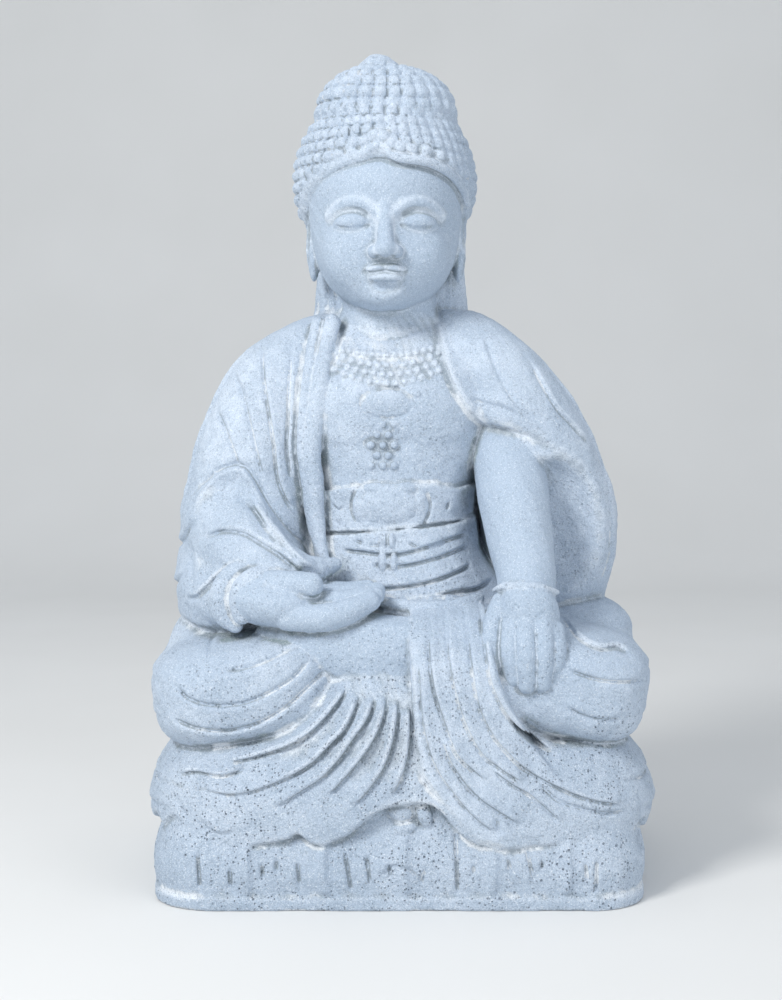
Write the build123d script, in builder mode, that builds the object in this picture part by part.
"""A cast-stone garden statue: a robed figure seated cross-legged on a carved petal base.

The casting is modelled section by section, each section being one closed solid that meets its
neighbours face to face. Three steel reinforcement rods run inside it, in channels of their own.

Row frame: millimetres, +Z up, the figure faces -Y, origin at the centre of the base's underside.
The figure's own right side is at -X. Small carved pieces keep their whole shape, and the larger
masses behind them are pocketed to take them.
"""

import math
import os

from build123d import *

# ---------------------------------------------------------------- driving dimensions
HEIGHT = 600.0  # ground to the tip of the topknot
BASE_WIDTH = 334.0  # across the slab that the statue stands on
BASE_DEPTH = 268.0
ROBE_WIDTH = 358.0  # across the lower robe, the widest part
SLAB_TOP = 9.0
BASE_TOP = 46.0
FOLD_Z = 97.0  # the crease between the lower robe and the knees
LAP_Z = 194.0  # top of the crossed legs
SHOULDER_Z = 392.0
AXIS_X = -8.0  # the body's centre line, a little off the base's
BACK_Y = 35.0  # the plane where the front sections meet the back of the robe
SPINE_ROD_R = 5.0
ARM_ROD_R = 3.0
PETAL_HEIGHT = 31.0
PETAL_RELIEF = 3.0
BELT_RELIEF = 4.0
BEAD_R = 3.6
CURL_R = 6.0

# The trunk's level ellipses: z, centre x, centre y, half width, half depth
TRUNK = [
    (LAP_Z, AXIS_X + 2, 8, 98, 74),
    (235, AXIS_X + 2, 6, 84, 62),
    (275, AXIS_X, 6, 84, 60),
    (330, AXIS_X, 8, 94, 62),
    (370, AXIS_X, 8, 84, 54),
    (SHOULDER_Z, AXIS_X, 8, 58, 40),
]

os.makedirs("parts", exist_ok=True)
finished = []


# ---------------------------------------------------------------- helpers
def stack(sections, grow=0.0):
    """Lofts through level ellipses, each grown by the same amount."""
    faces = []
    for z, x, y, half_width, half_depth in sections:
        with BuildSketch(Plane.XY.offset(z)) as section:
            with Locations((x, y)):
                Ellipse(half_width + grow, half_depth + grow)
        faces.append(section.sketch.face())
    loft(faces)


def rounded_stack(sections):
    """Lofts through level rounded rectangles: z, centre y, width, depth, corner radius."""
    faces = []
    for z, y, width, depth, corner in sections:
        with BuildSketch(Plane.XY.offset(z)) as section:
            with Locations((0, y)):
                RectangleRounded(width, depth, corner)
        faces.append(section.sketch.face())
    loft(faces)


def limb(stations):
    """Lofts a rounded limb through ellipses square to its path: point, half width, half depth."""
    faces = []
    for index, (point, half_width, half_depth) in enumerate(stations):
        before = Vector(stations[max(index - 1, 0)][0])
        after = Vector(stations[min(index + 1, len(stations) - 1)][0])
        square = Plane(origin=point, x_dir=(1, 0, 0), z_dir=(after - before).normalized())
        with BuildSketch(square) as section:
            Ellipse(half_width, half_depth)
        faces.append(section.sketch.face())
    loft(faces)


def egg(centre, half_width, half_depth, half_height):
    """An ellipsoid as a private part, ready to add or subtract."""
    ball = scale(Sphere(1, mode=Mode.PRIVATE), by=(half_width, half_depth, half_height), mode=Mode.PRIVATE)
    return Pos(*centre) * ball


def finger(points, radius):
    """A round finger along a few points, added to the hand being built."""
    for start, end in zip(points, points[1:]):
        start, end = Vector(start), Vector(end)
        shaft = Plane(origin=start, z_dir=(end - start).normalized())
        with Locations(shaft):
            Cylinder(radius, (end - start).length, align=(Align.CENTER, Align.CENTER, Align.MIN))
        with Locations(end, start):
            Sphere(radius)


def trunk_front(x, z):
    """The y of the trunk's front surface at a height and across position."""
    for low, high in zip(TRUNK, TRUNK[1:]):
        if low[0] <= z <= high[0]:
            share = (z - low[0]) / (high[0] - low[0])
            _, cx, cy, a, b = [p + (q - p) * share for p, q in zip(low, high)]
            return cy - b * math.sqrt(max(0.0, 1 - ((x - cx) / a) ** 2))
    raise ValueError("z is outside the trunk")


def take_away(*others):
    """Cuts other finished sections out of the one being built."""
    for other in others:
        add(other.part, mode=Mode.SUBTRACT)


def keep_front():
    split(bisect_by=Plane.XZ.offset(-BACK_Y), keep=Keep.TOP)


def finish(name, built):
    """Labels a section and writes it as its own node."""
    built.part.label = name
    export_step(built.part, f"parts/{name}.step")
    finished.append(built)


# ---------------------------------------------------------------- steel inside the casting
with BuildPart() as spine_rod:
    with BuildLine() as spine_path:
        FilletPolyline(
            (AXIS_X, -70, 27), (AXIS_X, 12, 27), (AXIS_X, 12, HEIGHT - 70), radius=22
        )
    with BuildSketch(Plane(origin=spine_path.line @ 0, z_dir=spine_path.line % 0)):
        Circle(SPINE_ROD_R)
    sweep()
finish("spine_rod", spine_rod)

with BuildPart() as left_arm_rod:
    with BuildLine() as left_rod_path:
        FilletPolyline((28, 16, 332), (74, 4, 318), (87, -86, 226), (88, -117, 176), radius=14)
    with BuildSketch(Plane(origin=left_rod_path.line @ 0, z_dir=left_rod_path.line % 0)):
        Circle(ARM_ROD_R)
    sweep()
finish("left_arm_rod", left_arm_rod)

with BuildPart() as right_arm_rod:
    with BuildLine() as right_rod_path:
        FilletPolyline((-40, 16, 332), (-118, 6, 262), (-108, -72, 220), (-62, -100, 211), radius=14)
    with BuildSketch(Plane(origin=right_rod_path.line @ 0, z_dir=right_rod_path.line % 0)):
        Circle(ARM_ROD_R)
    sweep()
finish("right_arm_rod", right_arm_rod)
rods = (spine_rod, left_arm_rod, right_arm_rod)

# ---------------------------------------------------------------- base
with BuildPart() as plinth_slab:
    with BuildSketch():
        RectangleRounded(BASE_WIDTH, BASE_DEPTH, 34)
    extrude(amount=SLAB_TOP)
    fillet(plinth_slab.edges().group_by(Axis.Z)[-1], 2.5)
finish("plinth_slab", plinth_slab)

with BuildPart() as rock_base:
    with BuildSketch(Plane.XY.offset(SLAB_TOP)):
        RectangleRounded(BASE_WIDTH - 12, BASE_DEPTH - 12, 34)
    extrude(amount=BASE_TOP - SLAB_TOP)
    take_away(spine_rod)
finish("rock_base", rock_base)

with BuildPart() as base_petals:
    petal_z = SLAB_TOP + 2 + PETAL_HEIGHT / 2
    face_y = (BASE_DEPTH - 12) / 2
    face_x = (BASE_WIDTH - 12) / 2
    rows = [
        (Plane(origin=(0, -face_y, petal_z), x_dir=(1, 0, 0), z_dir=(0, -1, 0)), 50, 5),
        (Plane(origin=(0, face_y, petal_z), x_dir=(-1, 0, 0), z_dir=(0, 1, 0)), 50, 5),
        (Plane(origin=(face_x, 0, petal_z), x_dir=(0, 1, 0), z_dir=(1, 0, 0)), 46, 4),
        (Plane(origin=(-face_x, 0, petal_z), x_dir=(0, -1, 0), z_dir=(-1, 0, 0)), 46, 4),
    ]
    for wall, pitch, count in rows:
        with BuildSketch(wall) as petal_row:
            with GridLocations(pitch, 0, count, 1):
                RectangleRounded(pitch - 6, PETAL_HEIGHT, 11)
        extrude(petal_row.sketch, amount=PETAL_RELIEF)
    rims = []
    for face in base_petals.faces():
        where = face.center()
        if max(abs(where.X) - face_x, abs(where.Y) - face_y) > PETAL_RELIEF - 0.1:
            rims += face.edges()
    fillet(rims, PETAL_RELIEF / 2)
finish("base_petals", base_petals)

# ---------------------------------------------------------------- hands, foot and hanging cloth
with BuildPart() as left_forearm:
    limb([((82, 2, 316), 27, 25), ((85, -48, 262), 28, 25), ((87, -90, 216), 22, 19)])
    take_away(left_arm_rod)
finish("left_forearm", left_forearm)

with BuildPart() as left_bracelet:
    limb([((86.6, -84, 222.6), 25.5, 22.5), ((87, -90, 216), 24.8, 22)])
    take_away(left_forearm, left_arm_rod)
finish("left_bracelet", left_bracelet)

with BuildPart() as left_hand:
    limb([((87, -90, 216), 22, 19), ((88, -108, 196), 27, 15), ((88, -120, 172), 27, 12)])
    for across in (-20, -7, 6, 19):
        tip_z = 150 + abs(across + 1) * 0.25
        finger([(88 + across, -119, 176), (88 + across * 0.92, -122, tip_z + 6)], 8.2)
    finger([(66, -104, 206), (62, -116, 172)], 7.5)
    take_away(left_forearm, left_bracelet, left_arm_rod)
finish("left_hand", left_hand)

with BuildPart() as right_hand:
    limb([((-112, -78, 218), 17, 20), ((-92, -92, 211), 17, 28), ((-66, -98, 208), 11, 30)])
    for across, reach in ((-20, -30), (-6, -22), (8, -22), (20, -32)):
        finger([(-72, -97 + across, 207), (reach, -94 + across * 0.75, 209)], 8)
    finger([(-96, -106, 219), (-56, -112, 223)], 8)
    take_away(right_arm_rod)
finish("right_hand", right_hand)

with BuildPart() as right_foot:
    limb([((-84, -88, 176), 14, 14), ((-46, -98, 172), 22, 17), ((4, -104, 168), 25, 20)])
    take_away(right_hand)
finish("right_foot", right_foot)

with BuildPart() as center_drape:
    with BuildSketch(Plane.XZ.offset(100)) as drape_outline:
        with BuildLine():
            Polyline(
                (6, LAP_Z), (8, 122), (14, 100), (25, 78), (42, 62), (64, 56), (86, 60),
                (106, 70), (62, 118), (52, 160), (50, LAP_Z), (6, LAP_Z),
            )
        make_face()
    extrude(amount=31)
    fillet(center_drape.faces().sort_by(Axis.Y)[0].edges(), 5)
    take_away(right_foot)
finish("center_drape", center_drape)

with BuildPart() as hem_knot:
    stack([(48, 6, -121, 5, 6), (56, 7, -121, 10, 9), (70, 8, -121, 11, 10), (88, 8, -118, 6, 8)])
finish("hem_knot", hem_knot)

# ---------------------------------------------------------------- crossed legs under the robe
LOWER_ROBE = [
    (BASE_TOP, 0, 334, 258, 70),
    (70, 0, ROBE_WIDTH, 266, 88),
    (FOLD_Z, 0, 342, 248, 90),
]
CROSSED_LEGS = [
    (FOLD_Z, 0, 334, 236, 92),
    (138, -2, 355, 242, 100),
    (174, -2, 338, 226, 98),
    (LAP_Z, 0, 300, 196, 88),
]
middle = Plane(origin=(AXIS_X, 0, 0), z_dir=(1, 0, 0))

with BuildPart() as lower_robe_right:
    rounded_stack(LOWER_ROBE)
    split(bisect_by=middle, keep=Keep.BOTTOM)
    take_away(center_drape, hem_knot, spine_rod)
finish("lower_robe_right", lower_robe_right)

with BuildPart() as lower_robe_left:
    rounded_stack(LOWER_ROBE)
    split(bisect_by=middle, keep=Keep.TOP)
    take_away(center_drape, hem_knot, spine_rod)
finish("lower_robe_left", lower_robe_left)

with BuildPart() as right_knee:
    rounded_stack(CROSSED_LEGS)
    keep_front()
    split(bisect_by=middle, keep=Keep.BOTTOM)
    take_away(center_drape, right_foot, right_hand, spine_rod)
finish("right_knee", right_knee)

with BuildPart() as left_knee:
    rounded_stack(CROSSED_LEGS)
    keep_front()
    split(bisect_by=middle, keep=Keep.TOP)
    take_away(center_drape, right_foot, left_hand, spine_rod, left_arm_rod)
finish("left_knee", left_knee)

with BuildPart() as seat_back:
    rounded_stack(CROSSED_LEGS)
    split(bisect_by=Plane.XZ.offset(-BACK_Y), keep=Keep.BOTTOM)
finish("seat_back", seat_back)

# ---------------------------------------------------------------- belt, jewellery and trunk
with BuildPart() as belt_buckle:
    with BuildSketch(Plane.XZ.offset(44)):
        with Locations((AXIS_X + 2, 268)):
            Ellipse(29, 15)
    extrude(amount=18)
    fillet(belt_buckle.edges().group_by(Axis.Y)[0], 3)
finish("belt_buckle", belt_buckle)

with BuildPart() as sash_knot:
    with BuildSketch(Plane.XZ.offset(44)):
        with Locations((AXIS_X + 4, 232)):
            RectangleRounded(22, 32, 5)
    extrude(amount=20)
    fillet(sash_knot.edges().group_by(Axis.Y)[0], 2.5)
finish("sash_knot", sash_knot)

with BuildPart() as pendant:
    pendant_z = 346
    with BuildSketch(Plane.XZ.offset(-trunk_front(AXIS_X, pendant_z) - 3)):
        with Locations((AXIS_X - 2, pendant_z)):
            Ellipse(15, 11)
    extrude(amount=7)
    fillet(pendant.edges().group_by(Axis.Y)[0], 2)
finish("pendant", pendant)

with BuildPart() as trunk:
    stack(TRUNK)
    keep_front()
    take_away(belt_buckle, sash_knot, pendant, left_forearm, *rods)
finish("trunk", trunk)

with BuildPart() as belt_band:
    stack([row for row in TRUNK if 230 < row[0] < 280], grow=BELT_RELIEF)
    split(bisect_by=Plane.XY.offset(250), keep=Keep.TOP)
    split(bisect_by=Plane.XZ.offset(20), keep=Keep.TOP)
    take_away(trunk, belt_buckle, sash_knot, left_forearm)
finish("belt_band", belt_band)

with BuildPart() as waist_sash:
    stack(TRUNK[:3], grow=BELT_RELIEF + 2)
    split(bisect_by=Plane.XY.offset(250), keep=Keep.BOTTOM)
    split(bisect_by=Plane.XZ.offset(20), keep=Keep.TOP)
    take_away(trunk, belt_buckle, sash_knot, left_forearm, left_bracelet, left_hand)
    take_away(right_hand, right_arm_rod)
finish("waist_sash", waist_sash)

with BuildPart() as necklace_beads:
    for turn in range(-6, 7):
        across = turn * 8.4
        bead_z = 358 + 0.0085 * across**2
        with Locations((AXIS_X + across, trunk_front(AXIS_X + across, bead_z), bead_z)):
            Sphere(BEAD_R)
    take_away(trunk, pendant)
finish("necklace_beads", necklace_beads)

with BuildPart() as pendant_tassel:
    for row, count in enumerate((3, 3, 2, 1)):
        for column in range(count):
            across = AXIS_X - 2 + (column - (count - 1) / 2) * 8.6
            bead_z = 328 - row * 9
            with Locations((across, trunk_front(across, bead_z), bead_z)):
                Sphere(BEAD_R + 0.5)
    take_away(trunk, pendant)
finish("pendant_tassel", pendant_tassel)

# ---------------------------------------------------------------- neck, head and hair
with BuildPart() as right_ear:
    add(egg((AXIS_X - 56, 6, 466), 7, 12, 27))
finish("right_ear", right_ear)

with BuildPart() as left_ear:
    add(egg((AXIS_X + 53, 6, 466), 7, 12, 27))
finish("left_ear", left_ear)

with BuildPart() as head:
    stack(
        [
            (413, AXIS_X - 2, -14, 16, 20),
            (419, AXIS_X - 2, -8, 32, 38),
            (438, AXIS_X - 2, -2, 46, 52),
            (470, AXIS_X - 2, 1, 55, 58),
            (505, AXIS_X - 2, 2, 56, 58),
            (534, AXIS_X - 2, 6, 42, 44),
        ]
    )
    take_away(right_ear, left_ear, spine_rod)
finish("head", head)

hairline = Plane(origin=(AXIS_X, -58, 517), z_dir=(0, 0.62, 1))
with BuildPart() as topknot_tip:
    add(egg((AXIS_X - 9, 6, HEIGHT - 11), 12, 12, 11))
finish("topknot_tip", topknot_tip)

with BuildPart() as topknot:
    add(egg((AXIS_X - 1, 12, 553), 51, 49, 39))
    split(bisect_by=Plane.XY.offset(552), keep=Keep.TOP)
    take_away(topknot_tip)
finish("topknot", topknot)

with BuildPart() as hair_cap:
    add(egg((AXIS_X - 2, 9, 506), 68, 70, 68))
    split(bisect_by=hairline, keep=Keep.TOP)
    take_away(head, topknot, topknot_tip, right_ear, left_ear, spine_rod)
finish("hair_cap", hair_cap)

with BuildPart() as hair_curls:
    for turn in range(13):
        bearing = math.radians(-90 + (turn - 6) * 14.5)
        across = 60 * math.cos(bearing)
        depth = 9 + 64 * math.sin(bearing)
        level = 517 - 0.62 * (depth + 58) + 7
        with Locations((AXIS_X - 2 + across * 1.04, depth, level)):
            Sphere(CURL_R)
    take_away(hair_cap, head, right_ear, left_ear)
finish("hair_curls", hair_curls)

with BuildPart() as neck:
    stack([(SHOULDER_Z, AXIS_X - 1, 8, 44, 34), (408, AXIS_X - 1, 6, 34, 31), (440, AXIS_X - 1, 8, 33, 32)])
    take_away(head, spine_rod)
finish("neck", neck)

with BuildPart() as hair_fall:
    stack(
        [
            (SHOULDER_Z, AXIS_X + 5, 38, 66, 22),
            (430, AXIS_X + 5, 38, 60, 24),
            (478, AXIS_X - 1, 42, 58, 26),
        ]
    )
    take_away(head, neck, hair_cap, right_ear, left_ear, spine_rod)
finish("hair_fall", hair_fall)

# ---------------------------------------------------------------- robe over the arms and the back
with BuildPart() as right_lapel:
    limb(
        [
            ((-44, -36, 396), 9, 10),
            ((-58, -50, 350), 9, 11),
            ((-60, -52, 300), 9, 11),
            ((-56, -58, 248), 10, 10),
        ]
    )
    take_away(trunk, neck, right_arm_rod, belt_band, waist_sash, necklace_beads)
finish("right_lapel", right_lapel)

with BuildPart() as right_cuff:
    limb([((-134, -10, 236), 27, 34), ((-128, -50, 224), 30, 29), ((-106, -84, 217), 27, 25)])
    split(bisect_by=Plane.XY.offset(LAP_Z), keep=Keep.TOP)
    take_away(right_hand, right_arm_rod, trunk, waist_sash)
finish("right_cuff", right_cuff)

with BuildPart() as right_sleeve:
    stack(
        [
            (LAP_Z, -112, -6, 52, 76),
            (258, -108, 4, 54, 66),
            (300, -104, 6, 53, 60),
            (346, -96, 8, 44, 52),
            (386, -82, 10, 32, 38),
            (407, -72, 14, 14, 18),
        ]
    )
    keep_front()
    take_away(trunk, neck, hair_fall, right_lapel, right_cuff, right_hand, right_arm_rod)
    take_away(belt_band, waist_sash)
finish("right_sleeve", right_sleeve)

with BuildPart() as left_shawl:
    stack([(306, 98, 10, 52, 54), (346, 86, 8, 52, 54), (386, 68, 10, 38, 40), (408, 54, 14, 16, 18)])
    keep_front()
    take_away(trunk, neck, hair_fall, left_forearm, left_arm_rod)
finish("left_shawl", left_shawl)

with BuildPart() as left_cape:
    stack([(LAP_Z, 116, 10, 40, 36), (255, 116, 8, 48, 44), (306, 100, 10, 50, 52)])
    keep_front()
    add(egg((112, -30, 250), 34, 44, 50), mode=Mode.SUBTRACT)
    take_away(trunk, left_forearm, left_arm_rod, belt_band, waist_sash)
finish("left_cape", left_cape)

with BuildPart() as back_robe:
    stack(
        [
            (LAP_Z, 0, 16, 142, 84),
            (260, 0, 10, 158, 92),
            (320, 0, 8, 146, 88),
            (365, 0, 8, 118, 76),
            (396, 0, 10, 76, 56),
            (410, 0, 16, 50, 38),
        ]
    )
    split(bisect_by=Plane.XZ.offset(-BACK_Y), keep=Keep.BOTTOM)
    take_away(hair_fall, neck)
finish("back_robe", back_robe)

print("sections:", len(finished))
print("total volume in litres:", round(sum(built.part.volume for built in finished) / 1e6, 2))
